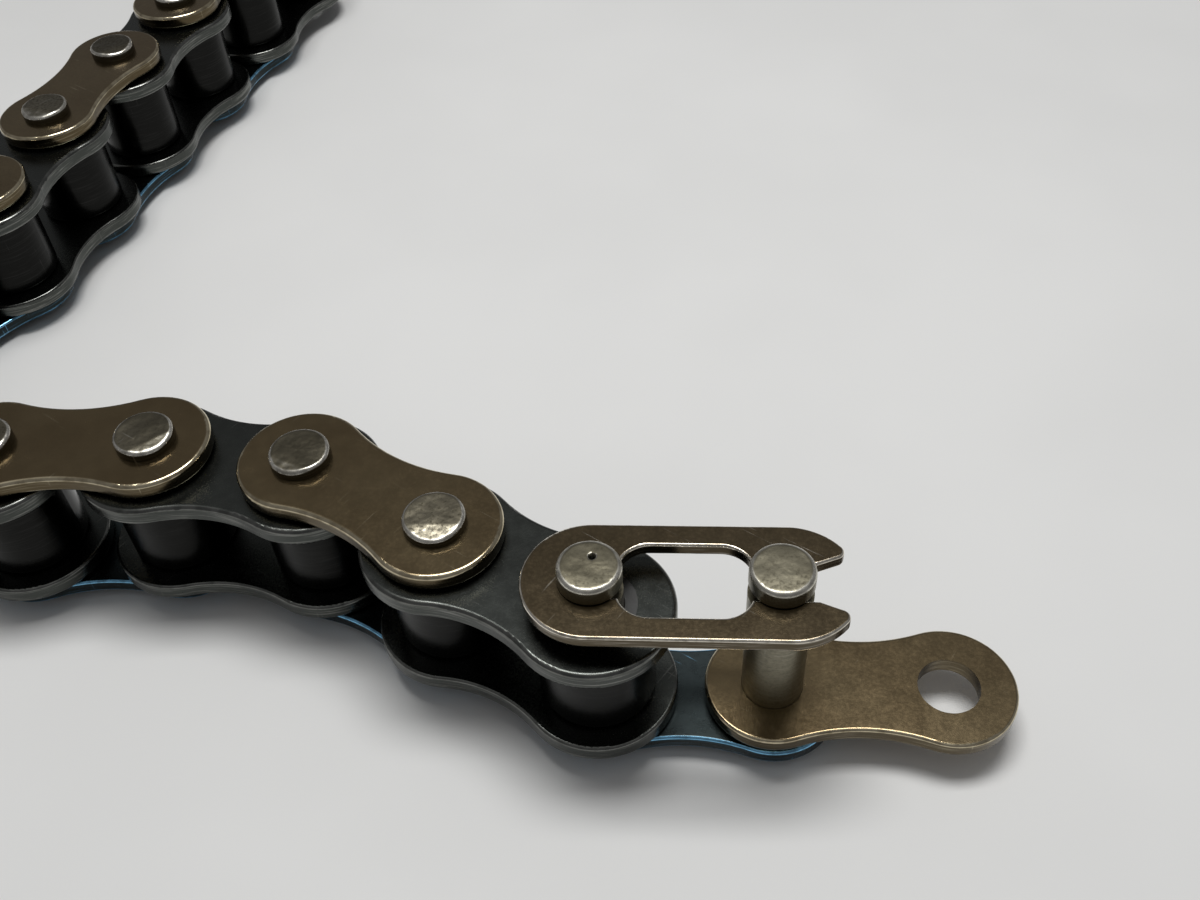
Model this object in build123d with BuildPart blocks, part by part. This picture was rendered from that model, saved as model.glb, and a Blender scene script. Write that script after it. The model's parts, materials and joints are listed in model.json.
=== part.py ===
"""A half-inch pitch roller chain, lying on its side with its connecting link open.

The pins stand along +Z and the riveted pin ends rest on z = 0. Seven inner links and six
outer links follow one another from the connecting link, whose loose plate is threaded on
the foot of its free pin and whose spring clip sits in the grooves of both its pins.
The origin is under the middle of the chain's bounding box. All sizes are in millimetres.
"""

import os
from math import cos, radians, sin, sqrt

from build123d import *

# Chain size: the 1/2 x 5/16 inch motorcycle chain.
PITCH = 12.7
INNER_WIDTH = 7.85
PIN_RADIUS = 4.45 / 2
BUSHING_OUTER_RADIUS = 6.3 / 2
BUSHING_BORE_RADIUS = 4.55 / 2
ROLLER_RADIUS = 8.5 / 2
ROLLER_BORE_RADIUS = 6.45 / 2
ROLLER_EDGE_ROUND = 0.4

INNER_PLATE_THICKNESS = 1.5
INNER_PLATE_END_RADIUS = 11.7 / 2
INNER_PLATE_WAIST = 9.2 / 2
OUTER_PLATE_THICKNESS = 1.35
OUTER_PLATE_END_RADIUS = 9.8 / 2
OUTER_PLATE_WAIST = 7.6 / 2
LOOSE_HOLE_RADIUS = 4.5 / 2
OUTWARD_EDGE_ROUND = 0.35
INWARD_EDGE_ROUND = 0.25

# Riveted pin ends, as wide as a pin plus the metal that peening spreads.
RIVET_HEIGHT = 0.95
RIVET_RADIUS = 2.3
RIVET_ROUND = 0.5

# Connecting pins: longer than the riveted ones, with a groove for the spring clip.
CONNECTING_PIN_TOP = 17.65
CONNECTING_PIN_ROUND = 0.35
GROOVE_RADIUS = 1.45
GROOVE_BOTTOM = 14.97
GROOVE_TOP = 16.2

# Spring clip, in the plane of the grooves.
CLIP_THICKNESS = 1.05
CLIP_BOTTOM = 15.05
CLIP_HALF_WIDTH = 4.75
CLIP_EDGE_ROUND = 0.2
WINDOW_HALF_WIDTH = 2.95
WINDOW_CORNER = 2.2
WINDOW_TO_PIN = 1.8
SEAT_RADIUS = 1.7
SLOT_HALF_WIDTH = 1.5
JAW_ROOT = 0.8
JAW_BULGE = (3.05, 4.0)
JAW_TIP = (4.6, 2.4)
JAW_TIP_ROUND = 0.6
NECK_REACH = 2.4

# Gaps between faces that slide past each other. The inner links have sunk to the lower side.
LOWER_PLATE_GAP = 0.1
UPPER_PLATE_GAP = 0.35
ROLLER_SIDE_GAP = 0.1
LOOSE_PLATE_GAP = 0.3
BUSHING_PROUD = 0.05

# Heights above the surface, from the lowest plate up.
LOWER_OUTER_BOTTOM = RIVET_HEIGHT
LOWER_OUTER_TOP = LOWER_OUTER_BOTTOM + OUTER_PLATE_THICKNESS
LOOSE_PLATE_BOTTOM = LOWER_OUTER_TOP + LOOSE_PLATE_GAP
LOWER_INNER_BOTTOM = LOWER_OUTER_TOP + LOWER_PLATE_GAP
LOWER_INNER_TOP = LOWER_INNER_BOTTOM + INNER_PLATE_THICKNESS
UPPER_INNER_BOTTOM = LOWER_INNER_TOP + INNER_WIDTH
UPPER_INNER_TOP = UPPER_INNER_BOTTOM + INNER_PLATE_THICKNESS
UPPER_OUTER_BOTTOM = UPPER_INNER_TOP + UPPER_PLATE_GAP
UPPER_OUTER_TOP = UPPER_OUTER_BOTTOM + OUTER_PLATE_THICKNESS
RIVETED_PIN_TOP = UPPER_OUTER_TOP + RIVET_HEIGHT

# The way each link points, in degrees from +X, walking away from the connecting link.
CONNECTING_HEADING = 180
LOOSE_PLATE_HEADING = 0
NEAR_RUN_HEADINGS = [154, 151, 172, 183]
TURN_HEADINGS = [171, 131, 96, 59]
FAR_RUN_HEADINGS = [77, 76, 75, 75, 75]
LINK_HEADINGS = NEAR_RUN_HEADINGS + TURN_HEADINGS + FAR_RUN_HEADINGS


def step(start, heading):
    """The next pin along a link that leaves start at this heading."""
    angle = radians(heading)
    return Vector(start.X + PITCH * cos(angle), start.Y + PITCH * sin(angle), 0)


def laid_out():
    """Pin centres of the whole chain and the loose plate's free hole, centred on the origin."""
    pins = [Vector(0, 0, 0)]
    for heading in [CONNECTING_HEADING] + LINK_HEADINGS:
        pins.append(step(pins[-1], heading))
    free_hole = step(pins[0], LOOSE_PLATE_HEADING)
    ends = [(pin, INNER_PLATE_END_RADIUS) for pin in pins[1:]]
    ends.append((free_hole, OUTER_PLATE_END_RADIUS))
    middle_x = (min(c.X - r for c, r in ends) + max(c.X + r for c, r in ends)) / 2
    middle_y = (min(c.Y - r for c, r in ends) + max(c.Y + r for c, r in ends)) / 2
    middle = Vector(middle_x, middle_y, 0)
    return [pin - middle for pin in pins]


def link_plane(pin, heading, height):
    """A horizontal plane at a height, with its origin on a pin and X along the link."""
    along = Vector(cos(radians(heading)), sin(radians(heading)), 0)
    return Plane(origin=(pin.X, pin.Y, height), x_dir=along, z_dir=(0, 0, 1))


def finish_piece(piece, name):
    """Label a finished piece and write it to its own file."""
    piece.part.label = name
    export_step(piece.part, f"parts/{name}.step")


def rim(end):
    """The outer edges of the top (end -1) or bottom (end 0) face of the part being built."""
    return faces().filter_by(Axis.Z).sort_by(Axis.Z)[end].outer_wire().edges()


def link_plate(pin, heading, bottom, thickness, end_radius, waist, hole_radius):
    """A figure-of-eight plate: two round ends joined by waist arcs that are tangent to both.

    The face that looks out of the chain has the wider rounding that stamping leaves.
    """
    half = PITCH / 2
    waist_radius = (half**2 + waist**2 - end_radius**2) / (2 * (end_radius - waist))
    reach = end_radius / (end_radius + waist_radius)
    foot_x = half * reach
    foot_y = (waist + waist_radius) * reach
    with BuildPart() as plate:
        with BuildSketch(link_plane(pin, heading, bottom)):
            with BuildLine():
                near_arc_ends = [(foot_x, foot_y), (foot_x, -foot_y)]
                far_arc_ends = [(PITCH - foot_x, foot_y), (PITCH - foot_x, -foot_y)]
                ThreePointArc(near_arc_ends[0], (half, waist), far_arc_ends[0])
                ThreePointArc(far_arc_ends[0], (PITCH + end_radius, 0), far_arc_ends[1])
                ThreePointArc(far_arc_ends[1], (half, -waist), near_arc_ends[1])
                ThreePointArc(near_arc_ends[1], (-end_radius, 0), near_arc_ends[0])
            make_face()
            with Locations((0, 0), (PITCH, 0)):
                Circle(hole_radius, mode=Mode.SUBTRACT)
        extrude(amount=thickness)
        outward_end = -1 if bottom > LOWER_INNER_TOP else 0
        fillet(rim(outward_end), OUTWARD_EDGE_ROUND)
        fillet(rim(-1 - outward_end), INWARD_EDGE_ROUND)
    return plate


def outer_plate(name, pin, heading, bottom, hole_radius=PIN_RADIUS):
    """One narrow plate of an outer link or of the connecting link."""
    shape = (OUTER_PLATE_THICKNESS, OUTER_PLATE_END_RADIUS, OUTER_PLATE_WAIST)
    finish_piece(link_plate(pin, heading, bottom, *shape, hole_radius), name)


def inner_plate(name, pin, heading, bottom):
    """One wide plate of an inner link, holed for the bushings."""
    shape = (INNER_PLATE_THICKNESS, INNER_PLATE_END_RADIUS, INNER_PLATE_WAIST)
    finish_piece(link_plate(pin, heading, bottom, *shape, BUSHING_OUTER_RADIUS), name)


def bushings(name, pin, heading):
    """The two tubes that are pressed into both plates of an inner link."""
    length = UPPER_INNER_TOP - LOWER_INNER_BOTTOM + 2 * BUSHING_PROUD
    with BuildPart() as pair:
        with BuildSketch(link_plane(pin, heading, LOWER_INNER_BOTTOM - BUSHING_PROUD)):
            with Locations((0, 0), (PITCH, 0)):
                Circle(BUSHING_OUTER_RADIUS)
                Circle(BUSHING_BORE_RADIUS, mode=Mode.SUBTRACT)
        extrude(amount=length)
    finish_piece(pair, name)


def roller(name, pin):
    """A plain tube that turns on a bushing, with rounded outer edges."""
    with BuildPart() as tube:
        with BuildSketch(link_plane(pin, 0, LOWER_INNER_TOP + ROLLER_SIDE_GAP)):
            Circle(ROLLER_RADIUS)
            Circle(ROLLER_BORE_RADIUS, mode=Mode.SUBTRACT)
        extrude(amount=INNER_WIDTH - 2 * ROLLER_SIDE_GAP)
        fillet(rim(0) + rim(-1), ROLLER_EDGE_ROUND)
    finish_piece(tube, name)


def riveted_pins(name, pin, heading):
    """The two pins of an outer link, each spread into a low round head at both ends."""
    head_bottoms = [0, UPPER_OUTER_TOP]
    with BuildPart() as pair:
        with BuildSketch(link_plane(pin, heading, 0)):
            with Locations((0, 0), (PITCH, 0)):
                Circle(PIN_RADIUS)
        extrude(amount=RIVETED_PIN_TOP)
        for head_bottom in head_bottoms:
            with BuildSketch(link_plane(pin, heading, head_bottom)):
                with Locations((0, 0), (PITCH, 0)):
                    Circle(RIVET_RADIUS)
            extrude(amount=RIVET_HEIGHT)
        rims = edges().filter_by(GeomType.CIRCLE).group_by(Axis.Z)
        fillet(rims[0] + rims[-1], RIVET_ROUND)
    finish_piece(pair, name)


def connecting_pin(name, pin):
    """A pin riveted at its foot, with a free top that is grooved for the clip."""
    with BuildPart() as shaft:
        with BuildSketch(link_plane(pin, 0, 0)):
            Circle(RIVET_RADIUS)
        extrude(amount=RIVET_HEIGHT)
        with BuildSketch(link_plane(pin, 0, 0)):
            Circle(PIN_RADIUS)
        extrude(amount=CONNECTING_PIN_TOP)
        rims = edges().filter_by(GeomType.CIRCLE).group_by(Axis.Z)
        fillet(rims[0], RIVET_ROUND)
        fillet(rims[-1], CONNECTING_PIN_ROUND)
        with BuildSketch(link_plane(pin, 0, GROOVE_BOTTOM)):
            Circle(PIN_RADIUS)
            Circle(GROOVE_RADIUS, mode=Mode.SUBTRACT)
        extrude(amount=GROOVE_TOP - GROOVE_BOTTOM, mode=Mode.SUBTRACT)
    finish_piece(shaft, name)


def spring_clip(name, closed_end_pin, heading):
    """A flat fishtail clip: round the closed end's pin, then two jaws past the other pin."""
    neck_x = PITCH + NECK_REACH
    tip = (PITCH + JAW_TIP[0], -JAW_TIP[1])
    bulge = (PITCH + JAW_BULGE[0], -JAW_BULGE[1])
    diagonal = CLIP_HALF_WIDTH / sqrt(2)
    with BuildPart() as clip:
        with BuildSketch(link_plane(closed_end_pin, heading, CLIP_BOTTOM)) as outline:
            with BuildLine():
                ThreePointArc((-CLIP_HALF_WIDTH, 0), (-diagonal, -diagonal), (0, -CLIP_HALF_WIDTH))
                Line((0, -CLIP_HALF_WIDTH), (PITCH + JAW_ROOT, -CLIP_HALF_WIDTH))
                ThreePointArc((PITCH + JAW_ROOT, -CLIP_HALF_WIDTH), bulge, tip)
                Line(tip, (neck_x, -SLOT_HALF_WIDTH))
                Line((neck_x, -SLOT_HALF_WIDTH), (neck_x, 0))
                mirror(about=Plane.XZ)
            make_face()
            fillet(outline.vertices().group_by(Axis((0, 0, 0), (1, 0, 0)))[-1], JAW_TIP_ROUND)
            with Locations((PITCH / 2, 0)):
                window_length = PITCH - 2 * WINDOW_TO_PIN
                RectangleRounded(
                    window_length, 2 * WINDOW_HALF_WIDTH, WINDOW_CORNER, mode=Mode.SUBTRACT
                )
            with Locations((neck_x / 2, 0)):
                Rectangle(neck_x, 2 * SLOT_HALF_WIDTH, mode=Mode.SUBTRACT)
            with Locations((0, 0), (PITCH, 0)):
                Circle(SEAT_RADIUS, mode=Mode.SUBTRACT)
        extrude(amount=CLIP_THICKNESS)
        fillet(rim(0) + rim(-1), CLIP_EDGE_ROUND)
    finish_piece(clip, name)


def connecting_link(free_pin, closed_end_pin):
    """The open link: base plate, two grooved pins, the loose plate and the clip."""
    outer_plate("connecting_link_base_plate", free_pin, CONNECTING_HEADING, LOWER_OUTER_BOTTOM)
    connecting_pin("connecting_link_free_pin", free_pin)
    connecting_pin("connecting_link_chain_pin", closed_end_pin)
    loose = ("connecting_link_loose_plate", free_pin, LOOSE_PLATE_HEADING, LOOSE_PLATE_BOTTOM)
    outer_plate(*loose, LOOSE_HOLE_RADIUS)
    spring_clip("spring_clip", closed_end_pin, CONNECTING_HEADING + 180)


def inner_link(number, pin, heading):
    """Two wide plates, two bushings and two rollers."""
    name = f"inner_link_{number}"
    inner_plate(f"{name}_lower_plate", pin, heading, LOWER_INNER_BOTTOM)
    inner_plate(f"{name}_upper_plate", pin, heading, UPPER_INNER_BOTTOM)
    bushings(f"{name}_bushings", pin, heading)
    roller(f"{name}_roller_a", pin)
    roller(f"{name}_roller_b", step(pin, heading))


def outer_link(number, pin, heading):
    """Two narrow plates and the two pins riveted through them."""
    name = f"outer_link_{number}"
    outer_plate(f"{name}_lower_plate", pin, heading, LOWER_OUTER_BOTTOM)
    outer_plate(f"{name}_upper_plate", pin, heading, UPPER_OUTER_BOTTOM)
    riveted_pins(f"{name}_pins", pin, heading)


os.makedirs("parts", exist_ok=True)
pin_centres = laid_out()
connecting_link(pin_centres[0], pin_centres[1])
for index, heading in enumerate(LINK_HEADINGS):
    make_link = outer_link if index % 2 else inner_link
    make_link(index // 2 + 1, pin_centres[index + 1], heading)
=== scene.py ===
"""The looks of the roller chain: worn steels, soft light, floor and camera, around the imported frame."""

import json
from math import cos, pi, radians, sin, tau
from random import Random

import bmesh
import bpy
from mathutils import Matrix, Vector, noise as solid_noise


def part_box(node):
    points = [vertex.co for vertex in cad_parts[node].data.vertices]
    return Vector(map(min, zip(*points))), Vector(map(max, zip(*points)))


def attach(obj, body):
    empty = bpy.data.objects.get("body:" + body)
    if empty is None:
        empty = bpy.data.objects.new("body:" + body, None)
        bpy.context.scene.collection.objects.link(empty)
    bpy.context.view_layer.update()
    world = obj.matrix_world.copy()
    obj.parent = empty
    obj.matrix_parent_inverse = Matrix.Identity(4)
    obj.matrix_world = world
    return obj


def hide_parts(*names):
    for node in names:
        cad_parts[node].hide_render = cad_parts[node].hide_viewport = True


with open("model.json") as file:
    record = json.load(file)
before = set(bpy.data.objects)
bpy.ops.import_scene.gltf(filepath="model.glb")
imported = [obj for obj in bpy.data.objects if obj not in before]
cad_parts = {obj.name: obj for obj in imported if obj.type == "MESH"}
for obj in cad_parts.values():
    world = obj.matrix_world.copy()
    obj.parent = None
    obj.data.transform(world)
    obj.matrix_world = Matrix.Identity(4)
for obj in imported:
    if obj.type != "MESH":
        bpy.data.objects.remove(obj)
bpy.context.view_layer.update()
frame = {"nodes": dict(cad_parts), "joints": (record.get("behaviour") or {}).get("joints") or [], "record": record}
scene = bpy.context.scene

# Camera, about the free connecting pin. Lengths in metres, angles in degrees.
CAMERA_LENS_MM = 36.77
SENSOR_WIDTH_MM = 36.0
CAMERA_DISTANCE = 0.09104
CAMERA_ELEVATION = 46.85
CAMERA_HEADING = 96.15
CAMERA_ROLL = -4.045
AIM_FROM_FREE_PIN = Vector((-0.01277, 0.01278, 0))

# Softbox over the far side of the open link.
SOFTBOX_OFFSET = Vector((-0.005, 0.05, 0.32))
SOFTBOX_SIZE = (0.18, 0.09)
SOFTBOX_WATTS = 0.74
ROOM_HORIZON = (0.17, 0.17, 0.175)
ROOM_ZENITH = (0.42, 0.42, 0.42)

# Pin ends, in metres unless noted: rounded, lumpy and crowned, with a flat worn on one side.
# The rivet rounds are shares of the head's height, and the sharp angle is in degrees.
PIN_SIDES = 96
HEAD_RINGS = 18
HEAD_SPREAD = 0.000075
GROOVE_DEPTH = 0.000775
GROOVE_CLEARANCE = (0.00008, 0.0001)
DIMPLE_RADIUS = 0.0003
DIMPLE_DEPTH = 0.0002

PIN_END_RINGS = 6
WORN_DEPTH = 0.0009
SWELL_REACH = 0.0022
SHARP_ANGLE = 38
RIVET_SEED = 700
FREE_PIN_SEED = 31
CHAIN_PIN_SEED = 47
RIVET_TOP_ROUND = 0.32
RIVET_FOOT_ROUND = 0.55
CONNECTING_TOP_ROUND = 0.00038
CONNECTING_FOOT_ROUND = 0.0005
DIMPLE_PLACE = Vector((0.0002, 0.0007))

# Wear of a pin's end: lumpiness in metres, slope of the worn flat, and crown.
RIVET_TOP_WEAR = (0.00004, 0.13, 0.01)
RIVET_FOOT_WEAR = (0.00003, 0.1, 0.0)
CONNECTING_TOP_WEAR = (0.000025, 0.03, 0.02)
CONNECTING_FOOT_WEAR = (0.00003, 0.1, 0.0)

FLOOR_HALF_SIZE = 2.0
FLOOR_COLOR = (0.80, 0.80, 0.785)

# Sizes of the steels' patterns, in features per metre.
PATCH_SCALE = 160.0
BLOTCH_SCALE = 900.0
SPECKLE_SCALE = 3600.0
GRAIN_SCALE = 14000.0
STREAK_STRETCH = (260, 260, 9000)
SCRATCH_STRETCH = (6500, 160, 160)
SCRATCH_PATCH_SCALE = 420.0
BUMP_STRENGTH = 0.4
BUMP_DISTANCE = 0.0001
# Painted shade: the near black painted into the pits of pin ends.
PIT_SHADE_COLOR = (0.004, 0.004, 0.003)

# Each finish: two base colours, the colour of rubbed metal, how it is worn, and wall_shade, the painted shade of
# its walls (painted lighter above 1).
LOOKS = {
    "outer_plate_steel": {
        "dark": (0.203, 0.150, 0.082), "light": (0.268, 0.206, 0.116), "worn": (0.85, 0.76, 0.55),
        "roughness": 0.18, "streaking": 0.2, "mottle": 0.32, "wall_shade": 0.35,
    },
    "inner_plate_steel": {
        "dark": (0.058, 0.062, 0.057), "light": (0.078, 0.084, 0.077), "worn": (0.30, 0.30, 0.28),
        "roughness": 0.24, "edge_wear": 0.5, "streaking": 0.7, "wall_shade": 0.8,
    },
    "roller_steel": {
        "dark": (0.012, 0.012, 0.012), "light": (0.020, 0.020, 0.019), "worn": (0.07, 0.07, 0.067),
        "roughness": 0.22, "edge_wear": 0.3, "streaking": 0.2, "wall_shade": 0.7,
    },
    "bushing_steel": {
        "dark": (0.07, 0.07, 0.07), "light": (0.12, 0.12, 0.115), "worn": (0.35, 0.35, 0.33),
        "roughness": 0.28,
    },
    "riveted_pin_steel": {
        "dark": (0.09, 0.080, 0.055), "light": (0.26, 0.235, 0.175), "worn": (0.85, 0.82, 0.74),
        "roughness": 0.29, "edge_wear": 0.9, "streaking": 0.1, "mottle": 0.9, "dents": 0.22,
        "wall_shade": 0.35,
    },
    "connecting_pin_steel": {
        "dark": (0.12, 0.108, 0.074), "light": (0.24, 0.222, 0.165), "worn": (0.95, 0.92, 0.82),
        "roughness": 0.32, "edge_wear": 0.8, "streaking": 0.12, "mottle": 0.8, "dents": 0.18,
        "wall_shade": 1.1,
    },
    "clip_steel": {
        "dark": (0.124, 0.095, 0.056), "light": (0.176, 0.137, 0.083), "worn": (1.0, 0.94, 0.82),
        "roughness": 0.18, "edge_wear": 1.0, "streaking": 0.3, "mottle": 0.35, "wall_shade": 0.5,
    },
    "blued_plate_steel": {
        "dark": (0.030, 0.038, 0.038), "light": (0.048, 0.060, 0.062), "worn": (0.28, 0.64, 0.95),
        "roughness": 0.26, "edge_wear": 0.9, "streaking": 0.1, "wall_shade": 0.45,
    },
}


def joint_place(name):
    """Where a joint's axis passes at rest."""
    return Vector(next(j for j in frame["joints"] if j["name"] == name)["pos_m"])


def add_camera():
    """A view down at the clip from in front of the open link."""
    aim = joint_place("loose_plate_swivel") + AIM_FROM_FREE_PIN
    aim.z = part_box("outer_link_1_upper_plate")[1].z
    heading = radians(CAMERA_HEADING)
    tilt = radians(CAMERA_ELEVATION)
    forward = Vector((cos(tilt) * cos(heading), cos(tilt) * sin(heading), -sin(tilt)))
    roll = Matrix.Rotation(radians(CAMERA_ROLL), 3, "Z")
    turn = forward.to_track_quat("-Z", "Y").to_matrix() @ roll
    data = bpy.data.cameras.new("camera")
    data.sensor_fit = "HORIZONTAL"
    data.sensor_width = SENSOR_WIDTH_MM
    data.lens = CAMERA_LENS_MM
    data.clip_start = 0.005
    camera = bpy.data.objects.new("camera", data)
    camera.matrix_world = Matrix.Translation(aim - forward * CAMERA_DISTANCE) @ turn.to_4x4()
    scene.collection.objects.link(camera)
    scene.camera = camera


# ---------------------------------------------------------------- node helpers


def add_node(tree, kind, inputs=None, **settings):
    """Add a node with its settings. Inputs are numbers, colours or other nodes' outputs."""
    made = tree.nodes.new(kind)
    for name, value in settings.items():
        setattr(made, name, value)
    for place, value in (inputs or {}).items():
        if isinstance(value, bpy.types.NodeSocket):
            tree.links.new(value, made.inputs[place])
        else:
            made.inputs[place].default_value = value
    return made


def math(tree, operation, a, b=0.0):
    """One arithmetic step on two numbers."""
    return add_node(tree, "ShaderNodeMath", {0: a, 1: b}, operation=operation).outputs[0]


def span(tree, value, low, high, to_low=0.0, to_high=1.0):
    """Take a value from one range to another, smoothly and clamped."""
    inputs = {0: value, 1: low, 2: high, 3: to_low, 4: to_high}
    return add_node(tree, "ShaderNodeMapRange", inputs, interpolation_type="SMOOTHSTEP").outputs[0]


def blend(tree, amount, color_a, color_b):
    """Mix two colours, each a tuple of three or a socket."""
    mix = add_node(tree, "ShaderNodeMix", data_type="RGBA")
    for place, value in ((0, amount), (6, color_a), (7, color_b)):
        if isinstance(value, bpy.types.NodeSocket):
            tree.links.new(value, mix.inputs[place])
        else:
            mix.inputs[place].default_value = (*value, 1) if isinstance(value, tuple) else value
    return mix.outputs[2]


def noise(tree, coords, scale, detail=4.0, roughness=0.55, stretch=(1, 1, 1), turn=(0, 0, 0)):
    """Fractal noise from 0 to 1, stretched along chosen axes. Scale is in features per metre."""
    turned = add_node(tree, "ShaderNodeMapping", {"Vector": coords, "Rotation": turn})
    mapped = add_node(tree, "ShaderNodeMapping", {"Vector": turned.outputs[0], "Scale": stretch})
    inputs = {"Vector": mapped.outputs[0], "Scale": scale, "Detail": detail, "Roughness": roughness}
    return add_node(tree, "ShaderNodeTexNoise", inputs).outputs[0]


def scratches(tree, coords, turn_degrees, density):
    """Thin straight marks in one direction, 1 on a mark and 0 off it."""
    turn = (0, 0, radians(turn_degrees))
    lines = noise(tree, coords, 1.0, 2.0, 0.5, SCRATCH_STRETCH, turn)
    patches = noise(tree, coords, SCRATCH_PATCH_SCALE, 2.0)
    marks = span(tree, lines, 0.72 - density, 0.76 - density)
    return math(tree, "MULTIPLY", marks, span(tree, patches, 0.45, 0.62))


# ---------------------------------------------------------------- steels


def steel(name, dark, light, worn, roughness, edge_wear=0.7, streaking=0.5, mottle=0.2, dents=0.12,
          wall_shade=1.0):
    """Worn steel: heat-tinted patches, fine mottle, scratches, rubbed edges and streaked walls, with painted shade
    on the walls and in the pits of pin ends.
    """
    material = bpy.data.materials.new(name)
    material.use_nodes = True
    tree = material.node_tree
    shader = tree.nodes["Principled BSDF"]
    place = add_node(tree, "ShaderNodeTexCoord")
    coords = place.outputs["Object"]
    facing = add_node(tree, "ShaderNodeSeparateXYZ", {0: place.outputs["Normal"]})
    upright = math(tree, "ABSOLUTE", facing.outputs["Z"])

    patches = noise(tree, coords, PATCH_SCALE, 2.5, 0.5)
    blotches = noise(tree, coords, BLOTCH_SCALE, 4.0, 0.6)
    speckle = noise(tree, coords, SPECKLE_SCALE, 5.0, 0.65)
    grain = noise(tree, coords, GRAIN_SCALE, 3.0, 0.6)
    streaks = noise(tree, coords, 1.0, 4.0, 0.6, STREAK_STRETCH)
    marks = math(tree, "MAXIMUM", scratches(tree, coords, 34, 0.0), scratches(tree, coords, -58, 0.02))

    wall = span(tree, upright, 0.5, 0.15)
    rim = math(tree, "MULTIPLY", span(tree, upright, 0.05, 0.35), span(tree, upright, 0.995, 0.93))
    rubbed = math(tree, "MULTIPLY", rim, span(tree, blotches, 0.30, 0.62, 0.35, 1.0))

    # Painted shade: pin meshes carry a pit share, which is painted near black and kept unrubbed where the pit lies
    # in shade.
    pit_shade_amount = add_node(tree, "ShaderNodeAttribute", attribute_name="pit_shade").outputs["Fac"]
    rubbed = math(tree, "MULTIPLY", rubbed, span(tree, pit_shade_amount, 0.0, 0.3, edge_wear, 0.0))

    color = blend(tree, span(tree, patches, 0.15, 0.85), dark, light)
    mottle_and_pit_shade_color = tuple(channel * 0.45 for channel in dark)
    mottle_and_pit_shade = math(tree, "MULTIPLY", span(tree, speckle, 0.62, 0.30), mottle)
    mottle_and_pit_shade = math(tree, "MULTIPLY", mottle_and_pit_shade, span(tree, wall, 0.0, 1.0, 1.0, 0.4))
    mottle_and_pit_shade = math(tree, "MAXIMUM", mottle_and_pit_shade, pit_shade_amount)
    mottle_and_pit_shade_color = blend(tree, pit_shade_amount, mottle_and_pit_shade_color, PIT_SHADE_COLOR)
    # Painted shade: upright walls take the light colour times wall_shade, darker below 1 and painted lighter above
    # 1.
    on_wall = tuple(channel * wall_shade for channel in light)
    color = blend(tree, wall, color, on_wall)
    color = blend(tree, mottle_and_pit_shade, color, mottle_and_pit_shade_color)
    bright_line = math(tree, "MULTIPLY", span(tree, streaks, 0.5, 0.72), wall)
    bright_line = math(tree, "MULTIPLY", bright_line, streaking)
    color = blend(tree, bright_line, color, worn)
    color = blend(tree, math(tree, "MULTIPLY", marks, 0.35), color, worn)
    color = blend(tree, rubbed, color, worn)
    tree.links.new(color, shader.inputs["Base Color"])

    rough = span(tree, blotches, 0.3, 0.7, roughness - 0.01, roughness + 0.025)
    rough = math(tree, "ADD", rough, math(tree, "MULTIPLY", mottle_and_pit_shade, 0.25))
    rough = math(tree, "SUBTRACT", rough, math(tree, "MULTIPLY", rubbed, 0.12))
    tree.links.new(rough, shader.inputs["Roughness"])

    height = math(tree, "MULTIPLY", blotches, dents)
    height = math(tree, "ADD", height, math(tree, "MULTIPLY", speckle, 0.05))
    height = math(tree, "ADD", height, math(tree, "MULTIPLY", grain, 0.03))
    height = math(tree, "SUBTRACT", height, math(tree, "MULTIPLY", marks, 0.03))
    height = math(tree, "ADD", height, math(tree, "MULTIPLY", bright_line, 0.1))
    settings = {"Height": height, "Strength": BUMP_STRENGTH, "Distance": BUMP_DISTANCE}
    bump = add_node(tree, "ShaderNodeBump", settings)
    tree.links.new(bump.outputs[0], shader.inputs["Normal"])
    shader.inputs["Metallic"].default_value = 1.0
    return material


def steels():
    """One steel for each finish named in the record."""
    return {name: steel(name, **look) for name, look in LOOKS.items()}


def finish_nodes(finishes):
    """Give every node the steel of its material slot."""
    slots = {row["node"]: row["material_slot"] for row in frame["record"]["subparts"]}
    for node, piece in frame["nodes"].items():
        piece.data.materials.clear()
        piece.data.materials.append(finishes[slots[node]])


# ---------------------------------------------------------------- pins


def rounded_end(radius, face, depth, corner, inward):
    """Profile points, centre to side, of a pin's end. inward is -1 at the top end, 1 at the foot."""
    flat = [((radius - corner) * ring / HEAD_RINGS, face) for ring in range(1, HEAD_RINGS + 1)]
    arc = []
    for part in range(1, PIN_END_RINGS + 1):
        angle = part / PIN_END_RINGS * pi / 2
        arc.append((radius - corner + corner * sin(angle), face + inward * corner * (1 - cos(angle))))
    return flat + arc + [(radius, face + inward * depth * 0.7), (radius, face + inward * depth)]


def worn_end(random, radius, roughness, slope, crown):
    """A function that wears an end's points: how far each moves along the pin and outward."""
    seed = Vector((random.uniform(0, 90), random.uniform(0, 90), random.uniform(0, 90)))
    facing = -pi / 2 + random.uniform(-1.1, 0.9)
    start = random.uniform(0.3, 0.6)
    tilt = random.uniform(0.6, 1.4) * slope

    def wear(x, y):
        across = Vector((x, y, 0)) / radius
        sunk = crown * across.length_squared * radius
        sunk += tilt * max(0.0, across.x * cos(facing) + across.y * sin(facing) - start) * radius
        sunk += roughness * (0.5 + solid_noise.fractal(across * 1.6 + seed, 1.0, 2.0, 4))
        swell = roughness * 0.8 * solid_noise.noise(across * 1.3 + seed)
        return max(sunk, 0.0), swell

    return wear


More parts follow.
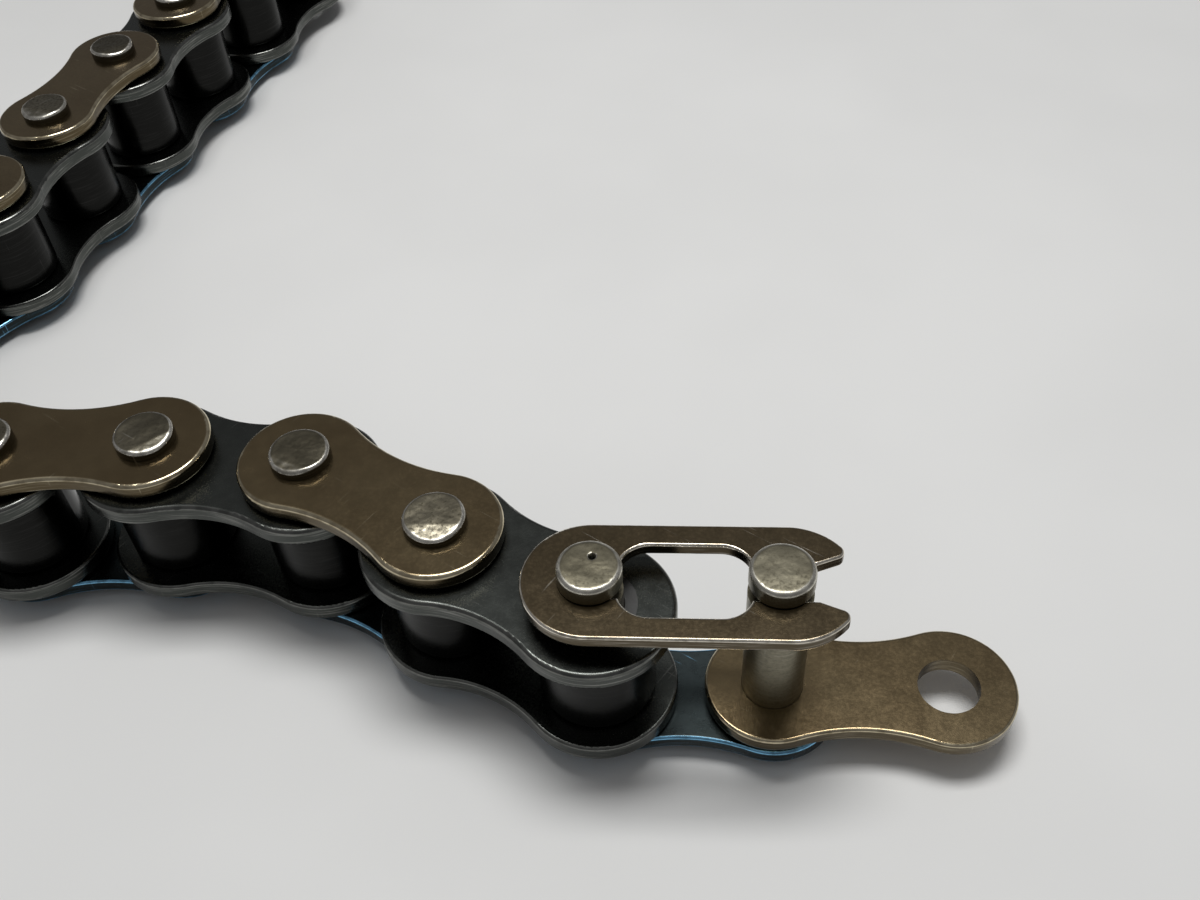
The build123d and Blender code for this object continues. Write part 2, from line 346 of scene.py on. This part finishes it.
def turned_mesh(name, pins):
    """One mesh of upright pins, each a centre, a profile, its middle, its two ends' wear and a pit, whose painted
    shade is kept per vertex.
    """
    vertices, faces, pit_shade = [], [], []
    for centre, profile, middle, wear_top, wear_foot, dimple in pins:
        base = len(vertices)
        for radius, height in [(0.0, profile[0][1])] + profile + [(0.0, profile[-1][1])]:
            at_top = height > middle
            for side in range(PIN_SIDES):
                angle = tau * side / PIN_SIDES
                x, y = radius * cos(angle), radius * sin(angle)
                sunk, swell = (wear_top if at_top else wear_foot)(x, y)
                edge = profile[0][1] if at_top else profile[-1][1]
                share = max(0.0, 1 - abs(height - edge) / WORN_DEPTH)
                pit = 0.0
                if at_top and dimple:
                    away = (Vector((x, y)) - dimple).length
                    pit = max(0.0, 1 - (away / DIMPLE_RADIUS) ** 2)
                    sunk += DIMPLE_DEPTH * pit
                height_worn = height - sunk * share if at_top else height + sunk * share
                grown = 1 + swell * share / SWELL_REACH
                vertices.append((centre.x + x * grown, centre.y + y * grown, height_worn))
                # Painted shade: how deep in the pit each vertex lies, for the steels to paint near black.
                pit_shade.append(min(1.0, 1.6 * pit))
        rings = len(profile) + 2
        for ring in range(rings - 1):
            for side in range(PIN_SIDES):
                after = (side + 1) % PIN_SIDES
                upper, lower = base + ring * PIN_SIDES, base + (ring + 1) * PIN_SIDES
                faces.append((upper + side, lower + side, lower + after, upper + after))
    mesh = bpy.data.meshes.new(name)
    mesh.from_pydata(vertices, [], faces)
    mesh.attributes.new("pit_shade", "FLOAT", "POINT").data.foreach_set("value", pit_shade)
    work = bmesh.new()
    work.from_mesh(mesh)
    bmesh.ops.remove_doubles(work, verts=work.verts, dist=1e-7)
    bmesh.ops.recalc_face_normals(work, faces=work.faces)
    work.to_mesh(mesh)
    work.free()
    mesh.polygons.foreach_set("use_smooth", [True] * len(mesh.polygons))
    mesh.set_sharp_from_angle(angle=radians(SHARP_ANGLE))
    return mesh


def add_pins(node, name, body, pins, material):
    """Stand the worn pins in for a CAD node, on the same body."""
    piece = bpy.data.objects.new(name, turned_mesh(name, pins))
    scene.collection.objects.link(piece)
    piece.data.materials.append(material)
    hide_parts(node)
    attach(piece, body)


def riveted_pins(number, finishes):
    """An outer link's two pins, with lumpy peened heads, each worn flat on one side."""
    link = f"outer_link_{number}"
    random = Random(RIVET_SEED + number)
    low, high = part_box(f"{link}_pins")
    head = high.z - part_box(f"{link}_upper_plate")[1].z
    spread = radius_of("connecting_link_free_pin")
    shaft = spread - HEAD_SPREAD
    top = rounded_end(spread, high.z, head, head * RIVET_TOP_ROUND, -1)
    foot = rounded_end(spread, low.z, head, head * RIVET_FOOT_ROUND, 1)
    profile = top + [(shaft, high.z - head), (shaft, low.z + head)] + foot[::-1]
    pins = []
    for joint in (f"inner_link_{number}_to_{link}", f"{link}_to_inner_link_{number + 1}"):
        wear_top = worn_end(random, spread, *RIVET_TOP_WEAR)
        wear_foot = worn_end(random, spread, *RIVET_FOOT_WEAR)
        pins.append((joint_place(joint), profile, (low.z + high.z) / 2, wear_top, wear_foot, None))
    slot = "riveted_pin_steel"
    add_pins(f"{link}_pins", f"{link}_worn_pins", link, pins, finishes[slot])


def radius_of(node):
    """Half the width of an upright round node."""
    low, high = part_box(node)
    return (high.x - low.x) / 2


def connecting_pin(node, joint, seed, dimple, finishes):
    """A grooved connecting pin with a crowned, bruised end."""
    random = Random(seed)
    low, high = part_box(node)
    clip_low, clip_high = (corner.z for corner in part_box("spring_clip"))
    spread = radius_of(node)
    shaft = spread - HEAD_SPREAD
    foot_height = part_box("connecting_link_base_plate")[0].z - low.z
    groove_bottom, groove_top = clip_low - GROOVE_CLEARANCE[0], clip_high + GROOVE_CLEARANCE[1]
    groove = shaft - GROOVE_DEPTH
    top = rounded_end(shaft, high.z, high.z - groove_top, CONNECTING_TOP_ROUND, -1)
    foot = rounded_end(spread, low.z, foot_height, CONNECTING_FOOT_ROUND, 1)
    profile = top + [(groove, groove_top), (groove, groove_bottom), (shaft, groove_bottom)]
    profile += [(shaft, low.z + foot_height)] + foot[::-1]
    wear_top = worn_end(random, shaft, *CONNECTING_TOP_WEAR)
    wear_foot = worn_end(random, shaft, *CONNECTING_FOOT_WEAR)
    pins = [(joint_place(joint), profile, (low.z + high.z) / 2, wear_top, wear_foot, dimple)]
    slot = "connecting_pin_steel"
    add_pins(node, f"{node}_worn", "connecting_link", pins, finishes[slot])


def add_worn_pins(finishes):
    """Every pin of the chain, in place of its plain CAD node."""
    for number in range(1, 7):
        riveted_pins(number, finishes)
    connecting_pin("connecting_link_free_pin", "loose_plate_swivel", FREE_PIN_SEED, None, finishes)
    chain_pin = ("connecting_link_chain_pin", "connecting_link_to_inner_link_1")
    connecting_pin(*chain_pin, CHAIN_PIN_SEED, DIMPLE_PLACE, finishes)


# ---------------------------------------------------------------- surroundings


def add_floor():
    """A pale, faintly textured sheet under the chain."""
    mesh = bpy.data.meshes.new("floor")
    half = FLOOR_HALF_SIZE
    corners = [(-half, -half, 0), (half, -half, 0), (half, half, 0), (-half, half, 0)]
    mesh.from_pydata(corners, [], [(0, 1, 2, 3)])
    floor = bpy.data.objects.new("floor", mesh)
    scene.collection.objects.link(floor)
    material = bpy.data.materials.new("pale_sheet")
    material.use_nodes = True
    tree = material.node_tree
    shader = tree.nodes["Principled BSDF"]
    coords = add_node(tree, "ShaderNodeTexCoord").outputs["Object"]
    clouds = noise(tree, coords, 25.0, 3.0)
    grain = noise(tree, coords, 3000.0, 4.0, 0.6)
    dim = tuple(channel * 0.96 for channel in FLOOR_COLOR)
    color = blend(tree, span(tree, clouds, 0.3, 0.7), dim, FLOOR_COLOR)
    tree.links.new(color, shader.inputs["Base Color"])
    bump = add_node(tree, "ShaderNodeBump", {"Height": grain, "Strength": 0.15, "Distance": 0.00005})
    tree.links.new(bump.outputs[0], shader.inputs["Normal"])
    shader.inputs["Roughness"].default_value = 0.65
    shader.inputs["Specular IOR Level"].default_value = 0.2
    mesh.materials.append(material)


def add_light():
    """A wide softbox over the far side, and a dim room that brightens overhead."""
    target = joint_place("loose_plate_swivel") + AIM_FROM_FREE_PIN
    data = bpy.data.lights.new("softbox", "AREA")
    data.shape = "RECTANGLE"
    data.size, data.size_y = SOFTBOX_SIZE
    data.energy = SOFTBOX_WATTS
    softbox = bpy.data.objects.new("softbox", data)
    softbox.location = target + SOFTBOX_OFFSET
    softbox.rotation_euler = (-SOFTBOX_OFFSET).to_track_quat("-Z", "Y").to_euler()
    scene.collection.objects.link(softbox)

    world = bpy.data.worlds.new("room")
    world.use_nodes = True
    tree = world.node_tree
    direction = add_node(tree, "ShaderNodeTexCoord").outputs["Generated"]
    height = add_node(tree, "ShaderNodeSeparateXYZ", {0: direction}).outputs["Z"]
    color = blend(tree, span(tree, height, 0.8, 1.0), ROOM_HORIZON, ROOM_ZENITH)
    tree.links.new(color, tree.nodes["Background"].inputs["Color"])
    scene.world = world
    scene.view_settings.view_transform = "Standard"


add_camera()
steel_finishes = steels()
finish_nodes(steel_finishes)
add_worn_pins(steel_finishes)
add_floor()
add_light()
